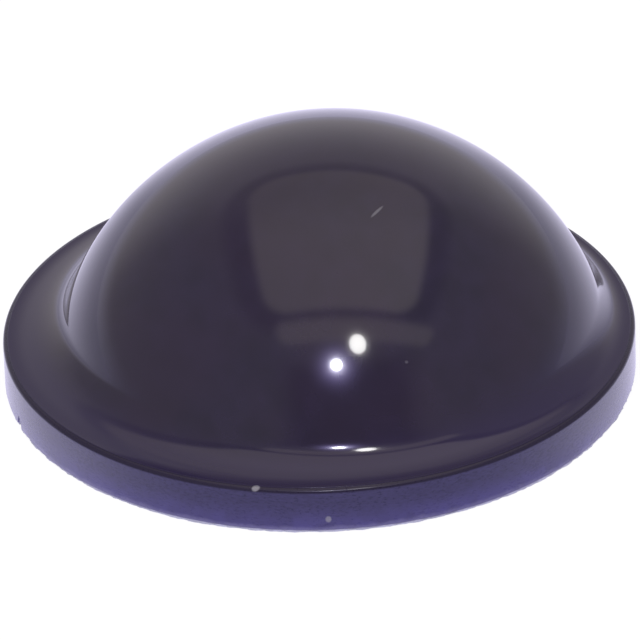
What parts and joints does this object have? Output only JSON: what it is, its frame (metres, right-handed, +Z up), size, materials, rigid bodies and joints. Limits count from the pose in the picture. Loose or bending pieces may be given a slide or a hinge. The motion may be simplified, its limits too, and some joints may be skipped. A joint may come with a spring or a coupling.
{
  "type": "adhesive bumper foot",
  "caption": "Soft domed bumper foot on a round flange, with an adhesive film underneath for cabinet doors, drawers and small cases.",
  "frame": {"origin": "centre of the sticking face, on the axis of the round flange", "axes": "+Z up from the sticking face through the dome, +X towards the side that the dome is shifted to"},
  "size_m": [0.0222, 0.0222, 0.0092],
  "materials": {
    "body": "gloss, dark purple-black polyurethane with a satin cut edge",
    "adhesive": "thin pale see-through pressure-sensitive film"
  },
  "bodies": {
    "root": {"bumper_body": "body", "adhesive_film": "adhesive"}
  },
  "joints": []
}
